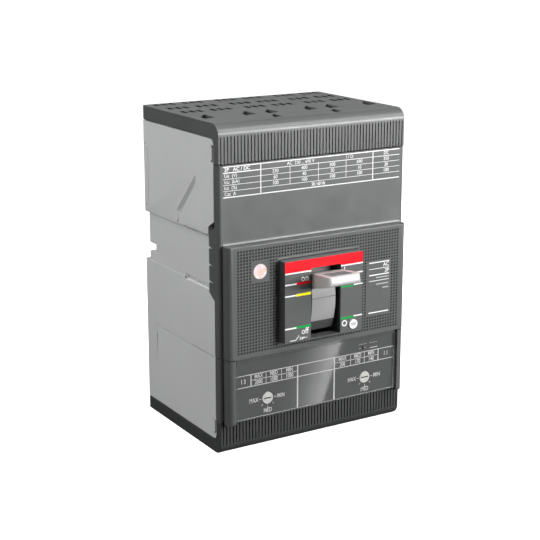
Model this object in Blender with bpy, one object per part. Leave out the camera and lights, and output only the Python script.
"""Three-pole moulded case circuit breaker, 105 x 160 mm frame, as an assembly of separate pieces.

Frame: origin at the centre of the rear mounting face, +X to the right of the front, +Y to the rear,
+Z up towards the line terminals.  All sizes below are in millimetres; MM turns them into metres.
"""
from math import cos, pi, radians, sin

import bmesh
import bpy
from mathutils import Vector

MM = 0.001

# ---- driving dimensions -----------------------------------------------------------------------
WIDTH = 105.0                    # case width of a three-pole frame
HEIGHT = 160.0                   # case height with its low terminal covers
BODY_DEPTH = 77.0                # rear face to the front of the covers
PANEL_PROUD = 5.5                # accessory lid ahead of the covers: 82.5 in all
ESCUTCHEON_PROUD = 5.0           # lever surround ahead of the lid
POLE_PITCH = 35.0
WALL = 2.5
GAP = 0.3                        # clearance between touching pieces

HALF_W = WIDTH / 2
HALF_H = HEIGHT / 2
FRONT = -BODY_DEPTH
LID_FRONT = FRONT - PANEL_PROUD
ESCUTCHEON_FRONT = LID_FRONT - ESCUTCHEON_PROUD
COVER_REAR = FRONT + 4.4         # rear of the dark front cover
CASE_FRONT = COVER_REAR + GAP    # front edge of the light case
POLES = {"left": -POLE_PITCH, "middle": 0.0, "right": POLE_PITCH}

# levels along Z
TOP_COVER_BASE = 61.1
TOP_SKIRT_BASE = 72.7
BOTTOM_COVER_TOP = -63.0
BOTTOM_SKIRT_TOP = -73.3
CASE_TOP = TOP_SKIRT_BASE - GAP
CASE_BOTTOM = BOTTOM_SKIRT_TOP + GAP
TRIP_SPLIT = -31.5               # joint line between the case and the plug-in trip unit
BAND_LOW, BAND_HIGH = 1.5, 26.0  # recessed band round the middle of the case
LID_TOP = 23.1
CASE_FLOOR = -12.0               # inside face of the case's rear wall
SHELF = -29.8                    # face that the terminal straps lie on
TRIP_REAR = -10.3

# handle, contact arm and toggle links: (y, z) points on axes that run along X
HANDLE_AXIS = (-46.5, -8.0)
HANDLE_ANGLE = 14.0              # above the horizontal in the on position
HANDLE_REACH = 59.8
HANDLE_HALF_WIDTH = 6.8
SLOT_HALF_WIDTH = 8.5
SLOT_LOW, SLOT_HIGH = -25.4, 9.3
SKIRT_OUT = 39.2                 # radius of the handle's curved skirt
RELIEF = SKIRT_OUT + 0.4         # radius of the room left for it in the covers
SHAFT_AXIS = (-22.0, -16.0)
SHAFT_RADIUS = 5.0
CRADLE_AXIS = (-57.0, 18.0)
LINK_TOP = (-57.0, 2.0)
KNEE = (-42.0, 3.0)
LINK_FOOT = (-27.0, -2.0)
TRIP_BAR_AXIS = (-56.0, -38.0)
ARMATURE_AXIS = (-39.2, -45.5)

BUTTON_AT = (15.9, -22.1)        # (x, z) of the test button
DIAL_AT = {"left": (-28.5, -54.0), "right": (28.5, -54.0)}
ESCUTCHEON_X = (-23.2, 21.4)
ESCUTCHEON_Z = (-26.0, 14.0)
CASE_SCREW_AT = (44.0, 15.0)     # (x, z) of the right-hand cover screw
FIXING_X = POLE_PITCH / 2
FIXING_Z = 65.0
FIXING_BORE = 2.3
PLATE_FRONT = LID_FRONT + 2.0    # front of the trip unit's printed plate
PLATE_HALF = 46.4
PLATE_Z = (-63.0, TRIP_SPLIT - GAP)
WINDOW_AXIS = (PLATE_FRONT - 0.9, PLATE_Z[0] + 0.8)
DIAL_HOLE = 3.3
LINE_SCREW_Z = 58.0              # terminal screws, and the holes in the straps under them
LOAD_SCREW_Z = -63.5
STRAP_HALF_WIDTH = 9.0
STRAP_HOLE = 4.2
SCREW_HEAD_REAR = -35.5          # heads as delivered, backed off 2.5 mm from the strap for a lug


# ---- scene and materials -----------------------------------------------------------------------
for old in list(bpy.data.objects):
    bpy.data.objects.remove(old)


def material(name, colour, roughness, metallic=0.0):
    made = bpy.data.materials.new(name)
    made.use_nodes = True
    shader = made.node_tree.nodes["Principled BSDF"]
    shader.inputs["Base Color"].default_value = (*colour, 1.0)
    shader.inputs["Roughness"].default_value = roughness
    shader.inputs["Metallic"].default_value = metallic
    return made


LIGHT_GREY = material("light_grey_case", (0.38, 0.385, 0.385), 0.55)
DARK_GREY = material("dark_grey_cover", (0.10, 0.104, 0.102), 0.5)
BLACK = material("black_plastic", (0.012, 0.012, 0.012), 0.6)
HANDLE_GREY = material("handle_grey", (0.55, 0.56, 0.56), 0.4)
WHITE = material("white_plastic", (0.85, 0.85, 0.83), 0.4)
CLEAR = material("clear_window", (0.9, 0.93, 0.93), 0.05)
STEEL = material("zinc_plated_steel", (0.55, 0.55, 0.53), 0.35, 1.0)
SPRING_STEEL = material("spring_steel", (0.45, 0.45, 0.45), 0.3, 1.0)
COPPER = material("silvered_copper", (0.72, 0.62, 0.52), 0.35, 1.0)
BRAID_COPPER = material("braid_copper", (0.72, 0.36, 0.2), 0.5, 1.0)
FIBRE = material("arc_chute_fibre", (0.32, 0.3, 0.26), 0.7)


# ---- shape helpers: each returns a bmesh in millimetres ----------------------------------------
def finish_shape(shape):
    bmesh.ops.recalc_face_normals(shape, faces=shape.faces)
    return shape


def prism(axis, outline, low, high):
    """Extrude a closed 2D outline along axis; its points hold the two other axes in X, Y, Z order."""
    shape = bmesh.new()
    along = "xyz".index(axis)

    def point(pair, level):
        values = list(pair)
        values.insert(along, level)
        return values

    start = [shape.verts.new(point(pair, low)) for pair in outline]
    end = [shape.verts.new(point(pair, high)) for pair in outline]
    shape.faces.new(start)
    shape.faces.new(end)
    count = len(outline)
    for i in range(count):
        j = (i + 1) % count
        shape.faces.new((start[i], start[j], end[j], end[i]))
    return finish_shape(shape)


def block(x, y, z):
    """A box between the (low, high) pairs x, y and z."""
    return prism("z", [(x[0], y[0]), (x[1], y[0]), (x[1], y[1]), (x[0], y[1])], z[0], z[1])


def circle(centre, radius, sides):
    return [(centre[0] + radius * cos(2 * pi * i / sides), centre[1] + radius * sin(2 * pi * i / sides))
            for i in range(sides)]


def rod(axis, centre, radius, low, high, sides=20):
    return prism(axis, circle(centre, radius, sides), low, high)


def arc(centre, radius, start, end, steps):
    """Points in the (y, z) plane; angles in degrees up from the -Y direction."""
    turns = [radians(start + (end - start) * i / steps) for i in range(steps + 1)]
    return [(centre[0] - radius * cos(a), centre[1] + radius * sin(a)) for a in turns]


def curved_wall(inner, outer, start, end, half_width, steps=12):
    """A plate bent round the handle axis between two radii and two angles."""
    outline = arc(HANDLE_AXIS, outer, start, end, steps) + arc(HANDLE_AXIS, inner, end, start, steps)
    return prism("x", outline, -half_width, half_width)


def coil(start, end, radius, wire, turns, sides=6, per_turn=8):
    """A round wire wound about the line from start to end."""
    shape = bmesh.new()
    start, end = Vector(start), Vector(end)
    ahead = (end - start).normalized()
    side = ahead.orthogonal().normalized()
    up = ahead.cross(side)
    steps = int(turns * per_turn)
    rings = []
    for i in range(steps + 1):
        turn = 2 * pi * turns * i / steps
        out = side * cos(turn) + up * sin(turn)
        centre = start.lerp(end, i / steps) + out * radius
        rings.append([shape.verts.new(centre + wire * (out * cos(2 * pi * k / sides)
                                                       + ahead * sin(2 * pi * k / sides)))
                      for k in range(sides)])
    for ring, following in zip(rings, rings[1:]):
        for k in range(sides):
            m = (k + 1) % sides
            shape.faces.new((ring[k], ring[m], following[m], following[k]))
    shape.faces.new(rings[0])
    shape.faces.new(rings[-1])
    return finish_shape(shape)


def together(shapes):
    """Separate closed shapes in one mesh, for use as a cutter."""
    mesh = bpy.data.meshes.new("together")
    joined = bmesh.new()
    for shape in shapes:
        shape.to_mesh(mesh)
        joined.from_mesh(mesh)
        shape.free()
    bpy.data.meshes.remove(mesh)
    return joined


# ---- object helpers ----------------------------------------------------------------------------
def place(name, shape, origin=(0.0, 0.0, 0.0)):
    """Turn a shape into an object whose origin is at origin, both in millimetres."""
    centre = Vector(origin)
    for vert in shape.verts:
        vert.co = (vert.co - centre) * MM
    mesh = bpy.data.meshes.new(name)
    shape.to_mesh(mesh)
    shape.free()
    made = bpy.data.objects.new(name, mesh)
    made.location = centre * MM
    bpy.context.scene.collection.objects.link(made)
    return made


def modify(made, operation, shape):
    """Join shape to an object (UNION) or take it away (DIFFERENCE), as a Boolean modifier."""
    tool = place(f"{made.name}_tool_{len(made.modifiers)}", shape)
    tool.hide_render = True
    tool.display_type = "WIRE"
    modifier = made.modifiers.new(operation.lower(), "BOOLEAN")
    modifier.operation = operation
    modifier.solver = "EXACT"
    modifier.object = tool


def piece(name, shape, finish, origin=(0.0, 0.0, 0.0), add=(), cut=()):
    """One named sub-part: shape, with the shapes in add joined to it and those in cut taken away."""
    made = place(name, shape, origin)
    made.data.materials.append(finish)
    for extra in add:
        modify(made, "UNION", extra)
    for extra in cut:
        modify(made, "DIFFERENCE", extra)
    return made


def on_axis(pair):
    """A (y, z) axis point as an origin."""
    return (0.0, pair[0], pair[1])


# ---- case and covers ---------------------------------------------------------------------------
def pole_rooms(y, z):
    """The three hollows between the case's side walls and its two partitions."""
    edge = POLE_PITCH / 2 - WALL / 2
    inner = HALF_W - WALL
    spans = [(-inner, -edge - WALL), (-edge, edge), (edge + WALL, inner)]
    return [block(span, y, z) for span in spans]


def fixing_bosses(low, high, level):
    return [rod("y", (side * FIXING_X, level), 4.5, low, high, 12) for side in (-1, 1)]


def fixing_bores(level):
    return together([rod("y", (side * FIXING_X, level), FIXING_BORE, -71.0, 1.0, 12) for side in (-1, 1)])


def screw_bores(low, high):
    return together([rod("y", (side * CASE_SCREW_AT[0], CASE_SCREW_AT[1]), 2.4, low, high, 12)
                     for side in (-1, 1)])


def nut_pockets(low, high):
    return together([block((x - 7, x + 7), (SHELF - 1, -15.0), (low, high)) for x in POLES.values()])


def on_both_sides(x, y, z):
    """A box and its mirror image across the middle plane."""
    return together([block(x, y, z), block((-x[1], -x[0]), y, z)])


def rear_base():
    """Light grey case: three pole rooms, terminal shelves, and a bed for the trip unit."""
    shell = block((-HALF_W, HALF_W), (CASE_FRONT, 0.0), (CASE_BOTTOM, CASE_TOP))
    ahead = CASE_FRONT - 1
    side_notch = [(-74.0, 34.9), (-67.0, 30.9), (-67.0, -1.0), (-74.0, -5.5)]
    cuts = [
        block((-HALF_W - 1, HALF_W + 1), (ahead, TRIP_REAR + GAP), (CASE_BOTTOM - 1, TRIP_SPLIT)),
        together(pole_rooms((ahead, CASE_FLOOR), (TRIP_SPLIT - 1, 40.0))),
        together(pole_rooms((ahead, SHELF), (44.0, CASE_TOP + 1))),
        block((-HALF_W - 1, HALF_W + 1), (-3.6, 1.0), (BAND_LOW, BAND_HIGH)),
        on_both_sides((44.0, HALF_W + 1), (-10.5, 1.0), (5.9, 10.3)),
        on_both_sides((HALF_W - 0.6, HALF_W + 1), (-80.0, 1.5), (BAND_LOW, BAND_HIGH)),
        together([prism("x", side_notch, 49.6, HALF_W + 1), prism("x", side_notch, -HALF_W - 1, -49.6)]),
        block((-24.0, 24.0), (ahead, SHAFT_AXIS[0] + 6), (SHAFT_AXIS[1] - 6, SHAFT_AXIS[1] + 6)),
        block((-47.0, 47.0), (ahead, SHELF), (39.0, 45.0)),
        block((13.9, 20.0), (ahead, -54.0), (TRIP_SPLIT - 1, -17.0)),
        nut_pockets(51.0, 65.0),
    ]
    made = piece("rear_base", shell, LIGHT_GREY, cut=cuts)
    for boss in fixing_bosses(-60.0, SHELF + 1, FIXING_Z):
        modify(made, "UNION", boss)
    screw_z = CASE_SCREW_AT[1]
    modify(made, "UNION", on_both_sides((39.9, 50.5), (-66.5, -25.0), (screw_z - 4, screw_z + 4)))
    modify(made, "DIFFERENCE", fixing_bores(FIXING_Z))
    modify(made, "DIFFERENCE", fixing_bores(-FIXING_Z))
    modify(made, "DIFFERENCE", screw_bores(-80.0, -50.0))


def mid_cover():
    plate = block((-HALF_W, HALF_W), (FRONT, COVER_REAR), (TRIP_SPLIT + GAP, TOP_COVER_BASE - GAP))
    tab = [(COVER_REAR - 1, 31.7), (-73.0, 31.7), (-67.3, 27.5), (-67.3, -0.6), (-73.0, -4.3),
           (COVER_REAR - 1, -4.3)]
    tabs = [prism("x", tab, side * HALF_W if side < 0 else 50.0, -50.0 if side < 0 else HALF_W)
            for side in (-1, 1)]
    cuts = [
        block((-49.5, 49.5), (FRONT + 3.0, COVER_REAR + 1), (TRIP_SPLIT + 4, TOP_COVER_BASE - 4)),
        block((-9.5, 9.5), (FRONT - 1, COVER_REAR + 2), (TRIP_SPLIT - 1, 21.5)),
        rod("y", BUTTON_AT, 1.8, FRONT - 1, COVER_REAR + 1, 12),
        screw_bores(FRONT - 1, COVER_REAR + 1),
    ]
    piece("mid_cover", plate, DARK_GREY, add=tabs, cut=cuts)


def lid_outline(half_width):
    """Plan of the accessory lid, with its long edges bevelled."""
    rear, bevel = FRONT - GAP, 2.2
    return [(-half_width, rear), (-half_width, LID_FRONT + bevel), (-half_width + bevel, LID_FRONT),
            (half_width - bevel, LID_FRONT), (half_width, LID_FRONT + bevel), (half_width, rear)]


def front_cover():
    lid = prism("z", lid_outline(50.8), TRIP_SPLIT + GAP, LID_TOP)
    window = block((ESCUTCHEON_X[0] - GAP, ESCUTCHEON_X[1] + GAP), (LID_FRONT - 1, FRONT),
                   (ESCUTCHEON_Z[0] - GAP, ESCUTCHEON_Z[1] + GAP))
    pocket = block((-46.0, 46.0), (LID_FRONT + 2.5, FRONT), (TRIP_SPLIT + 2.4, LID_TOP - 2.5))
    relief = rod("x", HANDLE_AXIS, RELIEF, -9.0, 9.0, 72)
    piece("front_cover", lid, DARK_GREY, cut=[pocket, window, relief])


def toggle_escutcheon():
    frame = block(ESCUTCHEON_X, (ESCUTCHEON_FRONT, FRONT - GAP), ESCUTCHEON_Z)
    slot = block((-SLOT_HALF_WIDTH, SLOT_HALF_WIDTH), (ESCUTCHEON_FRONT - 1, FRONT), (SLOT_LOW, SLOT_HIGH))
    lightening = block((ESCUTCHEON_X[0] + 2, -SLOT_HALF_WIDTH - 1.6), (ESCUTCHEON_FRONT + 2.5, FRONT),
                       (ESCUTCHEON_Z[0] + 2, ESCUTCHEON_Z[1] - 2))
    button_room = rod("y", BUTTON_AT, 3.8, ESCUTCHEON_FRONT + 2.5, FRONT, 16)
    button_hole = rod("y", BUTTON_AT, 2.65, ESCUTCHEON_FRONT - 1, FRONT, 20)
    relief = rod("x", HANDLE_AXIS, RELIEF, -9.0, 9.0, 72)
    piece("toggle_escutcheon", frame, DARK_GREY, cut=[slot, lightening, button_room, button_hole, relief])


def terminal_cover(name, sign):
    """End cap over one row of terminals: sign is 1 at the top and -1 at the bottom."""
    end, skirt = sign * HALF_H, TOP_SKIRT_BASE if sign > 0 else BOTTOM_SKIRT_TOP
    leg = TOP_COVER_BASE if sign > 0 else BOTTOM_COVER_TOP
    radius = 5.5
    centre = (FRONT + radius, end - sign * radius)
    corner = [(centre[0] - radius * sin(a), centre[1] + sign * radius * cos(a))
              for a in (radians(18 * i) for i in range(6))]
    outline = [(0.0, end)] + corner + [(FRONT, leg), (FRONT + 4.5, leg), (FRONT + 4.5, skirt), (0.0, skirt)]
    shell = prism("x", outline, -HALF_W, HALF_W)
    inner = sorted((end - sign * 3.2, leg - sign * 8))
    hollow = block((-HALF_W + 2.2, HALF_W - 2.2), (FRONT + 2.4, -2.2), inner)
    cuts = [hollow]
    if sign > 0:
        cuts.append(vent_slots())
    piece(name, shell, DARK_GREY, cut=cuts)


def vent_slots():
    """Three rows of gas vents over the line terminals, six groups of three in each."""
    slots = []
    for row in (-4.8, -19.6, -34.3):
        for pole in POLES.values():
            for step in (-12.2, -7.9, -3.7, 3.7, 7.9, 12.2):
                x = pole + step
                slots.append(block((x - 1, x + 1), (row - 3, row + 3), (70.0, HALF_H + 1)))
    return together(slots)


# ---- plug-in trip unit -------------------------------------------------------------------------
def trip_unit_housing():
    top = TRIP_SPLIT - GAP
    shell = block((-HALF_W, HALF_W), (CASE_FRONT, TRIP_REAR), (CASE_BOTTOM, top))
    cuts = [
        together(pole_rooms((CASE_FRONT - 1, TRIP_REAR - WALL), (-50.0, top + 1))),
        together(pole_rooms((CASE_FRONT - 1, SHELF), (CASE_BOTTOM - 1, -54.0))),
        block((-47.0, 47.0), (CASE_FRONT - 1, SHELF), (-55.0, -49.0)),
        block((-47.0, 47.0), (CASE_FRONT - 1, TRIP_BAR_AXIS[0] + 4.5), (TRIP_BAR_AXIS[1] - 4.5, top + 1)),
        nut_pockets(-70.0, -57.0),
    ]
    made = piece("trip_unit_housing", shell, LIGHT_GREY, cut=cuts)
    for boss in fixing_bosses(-60.0, SHELF + 1, -FIXING_Z):
        modify(made, "UNION", boss)
    modify(made, "DIFFERENCE", fixing_bores(-FIXING_Z))


def trip_unit_cover():
    low, high = BOTTOM_COVER_TOP + GAP, TRIP_SPLIT - GAP
    plate = block((-HALF_W, HALF_W), (FRONT, COVER_REAR), (low, high))
    leg = [(LID_FRONT, high), (FRONT + 1, high), (FRONT + 1, low), (FRONT - GAP, low),
           (FRONT - GAP, low - 1.6), (LID_FRONT, low - 1.6)]
    legs = [prism("x", leg, -50.6, -46.8), prism("x", leg, 46.8, 50.6)]
    relief = rod("x", HANDLE_AXIS, RELIEF, -9.0, 9.0, 72)
    dials = together([rod("y", at, DIAL_HOLE, FRONT - 1, COVER_REAR + 1, 20) for at in DIAL_AT.values()])
    piece("trip_unit_cover", plate, DARK_GREY, add=legs, cut=[relief, dials])


def trip_unit_label_plate():
    plate = block((-PLATE_HALF, PLATE_HALF), (PLATE_FRONT, FRONT - GAP), PLATE_Z)
    dials = together([rod("y", at, DIAL_HOLE, PLATE_FRONT - 1, FRONT + 1, 20) for at in DIAL_AT.values()])
    relief = rod("x", HANDLE_AXIS, RELIEF, -9.0, 9.0, 72)
    piece("trip_unit_label_plate", plate, DARK_GREY, cut=[dials, relief])


def trip_unit_window():
    sheet = block((-46.2, 46.2), (PLATE_FRONT - 1.4, PLATE_FRONT - 0.4), (PLATE_Z[0] + 0.3, PLATE_Z[1] - 0.5))
    piece("trip_unit_window", sheet, CLEAR, on_axis(WINDOW_AXIS))


def dial(side):
    x, z = DIAL_AT[side]
    body = rod("y", (x, z), 3.0, PLATE_FRONT - 0.1, COVER_REAR - 0.5, 24)
    slot = block((x - 2.1, x + 2.1), (PLATE_FRONT - 1, PLATE_FRONT + 0.7), (z - 0.35, z + 0.35))
    piece(f"dial_{side}", body, WHITE, (x, PLATE_FRONT, z), cut=[slot])


# ---- handle group ------------------------------------------------------------------------------
def radial(r, offset):
    """A (y, z) point r out from the handle axis along the handle, offset up across it."""
    a = radians(HANDLE_ANGLE)
    return (HANDLE_AXIS[0] - r * cos(a) + offset * sin(a), HANDLE_AXIS[1] + r * sin(a) + offset * cos(a))


def toggle_lever():
    skirt = curved_wall(37.8, SKIRT_OUT, -15.6, 19.6, HANDLE_HALF_WIDTH)
    tip = [radial(HANDLE_REACH - 2.2 + 2.2 * cos(a), 2.2 * sin(a))
           for a in (radians(-75 + 25 * i) for i in range(7))]
    knob = [radial(38.4, -4.1)] + tip + [radial(38.4, 4.1)]
    stem = [radial(19.4, -3), radial(38.6, -3), radial(38.6, 3), radial(19.4, 3)]
    piece("toggle_lever", skirt, HANDLE_GREY, on_axis(HANDLE_AXIS),
          add=[prism("x", knob, -HANDLE_HALF_WIDTH, HANDLE_HALF_WIDTH), prism("x", stem, -4.0, 4.0)])


def slot_shield():
    wall = curved_wall(35.6, 37.5, -23.5, 55.0, 7.6, 24)
    ledge = curved_wall(36.6, SKIRT_OUT, -23.0, -16.3, HANDLE_HALF_WIDTH, 4)
    window = [radial(34.0, -3.4), radial(39.0, -3.4), radial(39.0, 3.4), radial(34.0, 3.4)]
    piece("slot_shield", wall, BLACK, on_axis(HANDLE_AXIS), add=[ledge], cut=[prism("x", window, -4.4, 4.4)])


def lever_yoke():
    bridge = [radial(17.0, -4), radial(19.1, -4), radial(19.1, 4), radial(17.0, 4)]
    arm = [radial(0, 4), radial(19.1, 4), radial(19.1, -4), radial(0, -4), radial(-3.5, -2), radial(-3.5, 2)]
    bore = rod("x", HANDLE_AXIS, 2.3, -12.0, 12.0)
    piece("lever_yoke", prism("x", bridge, -11.2, 11.2), STEEL, on_axis(HANDLE_AXIS),
          add=[prism("x", arm, -11.2, -10.0), prism("x", arm, 10.0, 11.2)], cut=[bore])


# ---- operating mechanism -----------------------------------------------------------------------
def mechanism_frame(side):
    low, high = (-13.3, -11.7) if side == "left" else (11.7, 13.3)
    outline = [(-17.0, -24.0), (-17.0, 22.0), (-30.0, 24.4), (-62.0, 24.4), (-66.0, 20.0),
               (-66.0, -18.0), (-58.0, -24.0)]
    cuts = [rod("x", SHAFT_AXIS, 5.6, low - 1, high + 1, 24), rod("x", HANDLE_AXIS, 2.3, low - 1, high + 1),
            rod("x", CRADLE_AXIS, 1.8, low - 1, high + 1, 16)]
    piece(f"mechanism_frame_{side}", prism("x", outline, low, high), STEEL, cut=cuts)


def link(name, start, end, inner, outer, foot_bore, bridge_at):
    """Two side plates joined by a bridge, bored for the pins at both ends."""
    ahead = (Vector(end) - Vector(start)).normalized()
    across = Vector((-ahead.y, ahead.x))
    corners = [Vector(start) - ahead * 2.6 - across * 2, Vector(end) + ahead * 4.6 - across * 2.2,
               Vector(end) + ahead * 4.6 + across * 2.2, Vector(start) - ahead * 2.6 + across * 2]
    if foot_bore > 2:
        widen = across * 2.6
        corners[1] -= widen
        corners[2] += widen
    outline = [tuple(corner) for corner in corners]
    middle = Vector(start).lerp(Vector(end), bridge_at)
    bar = [tuple(middle - ahead * 1.2 + across * 1.2), tuple(middle + ahead * 1.2 + across * 1.2),
           tuple(middle + ahead * 1.2 + across * 2.0), tuple(middle - ahead * 1.2 + across * 2.0)]
    cuts = [rod("x", start, 1.9, -9.0, 9.0, 16), rod("x", end, foot_bore, -9.0, 9.0, 16)]
    piece(name, prism("x", bar, -inner - 0.4, inner + 0.4), STEEL, on_axis(start),
          add=[prism("x", outline, -outer, -inner), prism("x", outline, inner, outer)], cut=cuts)


def cradle():
    outline = [(-59.8, 20.5), (-54.4, 20.5), (-54.4, -4.0), (-55.5, -14.5), (-60.0, -14.5), (-60.4, 10.0)]
    cuts = [rod("x", CRADLE_AXIS, 1.8, -3.0, 3.0, 16)]
    link_pin = rod("x", LINK_TOP, 1.5, -6.6, 6.6, 12)
    piece("cradle", prism("x", outline, -1.5, 1.5), STEEL, on_axis(CRADLE_AXIS), add=[link_pin], cut=cuts)


def latch_plate():
    foot = block((-11.3, 11.3), (-61.0, -54.0), (-19.5, -16.6))
    catch = block((-9.4, 9.4), (-61.0, -54.0), (-17.0, -15.0))
    notch = block((-2.0, 2.0), (-60.6, -53.0), (-17.5, -14.0))
    piece("latch_plate", foot, STEEL, add=[catch], cut=[notch])


def main_spring(side):
    x = -8.1 if side == "left" else 8.1
    hook = radial(14.6, 0)
    foot = Vector(KNEE).lerp(Vector(hook), 0.16)
    piece(f"main_spring_{side}", coil((x, foot.x, foot.y), (x, *hook), 1.25, 0.35, 7), SPRING_STEEL,
          on_axis(HANDLE_AXIS))


def contact_shaft():
    barrel = rod("x", SHAFT_AXIS, SHAFT_RADIUS, -49.5, 49.5, 24)
    y, z = SHAFT_AXIS
    seats = together([block((x - 3.3, x + 3.3), (y - 2.8, y + 2.8), (z - 3.3, z + 8)) for x in POLES.values()])
    piece("contact_shaft", barrel, BLACK, on_axis(SHAFT_AXIS), cut=[seats])


def moving_contact(side):
    x, y = POLES[side], SHAFT_AXIS[0]
    arm = [(y - 2.5, -19.0), (y + 2.5, -19.0), (y + 2.5, 15.5), (y + 4.0, 16.0), (y + 4.0, 22.0),
           (y + 2.0, 23.5), (y - 2.5, 23.5)]
    add = []
    if side == "middle":
        spur = [(y - 1.0, -6.0), (y - 7.0, -4.5), (y - 7.0, 0.5), (y - 1.0, 3.0)]
        add = [prism("x", spur, -2.4, 2.4), rod("x", LINK_FOOT, 1.4, -5.2, 5.2, 12)]
    piece(f"moving_contact_{side}", prism("x", arm, x - 3, x + 3), COPPER, on_axis(SHAFT_AXIS), add=add)


# ---- per-pole current path ---------------------------------------------------------------------
def line_terminal(side):
    x = POLES[side]
    strap = [(-33.0, 72.0), (-30.0, 72.0), (-30.0, 39.7), (-14.0, 39.7), (-14.0, 12.0), (-17.0, 12.0),
             (-17.0, 15.7), (-17.7, 16.0), (-17.7, 22.0), (-17.0, 22.4), (-17.0, 36.7), (-33.0, 36.7)]
    piece(f"line_terminal_{side}", prism("x", strap, x - STRAP_HALF_WIDTH, x + STRAP_HALF_WIDTH), COPPER,
          cut=[rod("y", (x, LINE_SCREW_Z), STRAP_HOLE, -34.0, -29.0)])


def load_terminal(side):
    x = POLES[side]
    strap = [(-33.0, -72.0), (-30.0, -72.0), (-30.0, -49.6), (-20.0, -49.6), (-20.0, -33.2), (-23.0, -33.2),
             (-23.0, -46.6), (-33.0, -46.6)]
    piece(f"load_terminal_{side}", prism("x", strap, x - STRAP_HALF_WIDTH, x + STRAP_HALF_WIDTH), COPPER,
          cut=[rod("y", (x, LOAD_SCREW_Z), STRAP_HOLE, -34.0, -29.0)])


def terminal_screw(name, x, z):
    head = rod("y", (x, z), 6.5, SCREW_HEAD_REAR - 5.2, SCREW_HEAD_REAR)
    shank = rod("y", (x, z), 3.8, SCREW_HEAD_REAR - 1, -17.0)
    socket = rod("y", (x, z), 3.0, SCREW_HEAD_REAR - 6, SCREW_HEAD_REAR - 2.2, 6)
    piece(name, head, STEEL, add=[shank], cut=[socket])


def arc_chute(side):
    x = POLES[side]
    walls = [block((x - 13.4, x - 12.2), (-58.0, -19.5), (24.8, 36.2)),
             block((x + 12.2, x + 13.4), (-58.0, -19.5), (24.8, 36.2))]
    plates = [block((x - 12.6, x + 12.6), (y - 0.6, y + 0.6), (25.0, 36.0)) for y in range(-56, -24, 4)]
    roof = block((x - 12.6, x + 12.6), (-57.9, -20.0), (35.0, 36.1))
    piece(f"arc_chute_{side}", roof, FIBRE, add=[*walls, together(plates)])


def bimetal(side):
    x = POLES[side]
    piece(f"bimetal_{side}", block((x - 4, x + 4), (-28.5, -27.3), (-46.3, -33.0)), STEEL)


def armature(side):
    x = POLES[side]
    y, z = ARMATURE_AXIS
    piece(f"armature_{side}", block((x - 8, x + 8), (y - 0.8, y + 0.8), (z, z + 12)), STEEL, (x, y, z))


def flexible_braid(side):
    x = POLES[side]
    outer = [(-20.6, -32.9), (-18.4, -29.5), (-18.4, -25.0), (-20.4, -21.6)]
    inner = [(-23.0, -21.6), (-20.4, -25.4), (-20.4, -29.2), (-22.8, -32.9)]
    piece(f"flexible_braid_{side}", prism("x", outer + inner, x - 4, x + 4), BRAID_COPPER)


def trip_bar():
    y, z = TRIP_BAR_AXIS
    paddle = block((14.3, 17.5), (y - 3.4, y - 1.2), (z, -20.0))
    lugs = [block((x - 3, x + 3), (y - 1.5, y + 6.5), (z - 1, z + 1)) for x in POLES.values()]
    piece("trip_bar", rod("x", TRIP_BAR_AXIS, 3.0, -49.6, 49.6, 20), BLACK, on_axis(TRIP_BAR_AXIS),
          add=[paddle, *lugs])


# ---- test button and small fasteners -----------------------------------------------------------
def test_button():
    x, z = BUTTON_AT
    head = rod("y", BUTTON_AT, 2.4, ESCUTCHEON_FRONT - 0.6, -81.5, 24)
    flange = rod("y", BUTTON_AT, 3.5, ESCUTCHEON_FRONT + 2.8, ESCUTCHEON_FRONT + 3.9, 20)
    stem = rod("y", BUTTON_AT, 1.4, -82.0, -60.1, 12)
    piece("test_button", head, WHITE, (x, ESCUTCHEON_FRONT, z), add=[flange, stem])


def test_button_spring():
    x, z = BUTTON_AT
    piece("test_button_spring", coil((x, -82.9, z), (x, -77.8, z), 2.9, 0.3, 3), SPRING_STEEL,
          (x, ESCUTCHEON_FRONT, z))


def cover_screw(side):
    x, z = (-1 if side == "left" else 1) * CASE_SCREW_AT[0], CASE_SCREW_AT[1]
    head = rod("y", (x, z), 2.1, FRONT + 0.6, -56.0, 16)
    cross = block((x - 1.5, x + 1.5), (FRONT, FRONT + 1.6), (z - 0.3, z + 0.3))
    piece(f"cover_screw_{side}", head, STEEL, cut=[cross])


# ---- assembly ----------------------------------------------------------------------------------
rear_base()
mid_cover()
front_cover()
toggle_escutcheon()
terminal_cover("top_terminal_cover", 1)
terminal_cover("bottom_terminal_cover", -1)

trip_unit_housing()
trip_unit_cover()
trip_unit_label_plate()
trip_unit_window()
trip_bar()

toggle_lever()
slot_shield()
lever_yoke()
piece("lever_pivot_pin", rod("x", HANDLE_AXIS, 2.0, -14.0, 14.0), STEEL, on_axis(HANDLE_AXIS))
cradle()
piece("cradle_pin", rod("x", CRADLE_AXIS, 1.5, -14.0, 14.0, 16), STEEL, on_axis(CRADLE_AXIS))
latch_plate()
link("upper_link", LINK_TOP, KNEE, 5.1, 6.2, 1.9, 0.5)
link("lower_link", KNEE, LINK_FOOT, 3.6, 4.7, 3.4, 0.35)
piece("knee_pin", rod("x", KNEE, 1.6, -9.6, 9.6, 16), STEEL, on_axis(KNEE))
contact_shaft()
test_button()
test_button_spring()

for half in ("left", "right"):
    mechanism_frame(half)
    main_spring(half)
    dial(half)
    cover_screw(half)

for pole in POLES:
    moving_contact(pole)
    line_terminal(pole)
    load_terminal(pole)
    terminal_screw(f"line_terminal_screw_{pole}", POLES[pole], LINE_SCREW_Z)
    terminal_screw(f"load_terminal_screw_{pole}", POLES[pole], LOAD_SCREW_Z)
    arc_chute(pole)
    bimetal(pole)
    armature(pole)
    flexible_braid(pole)
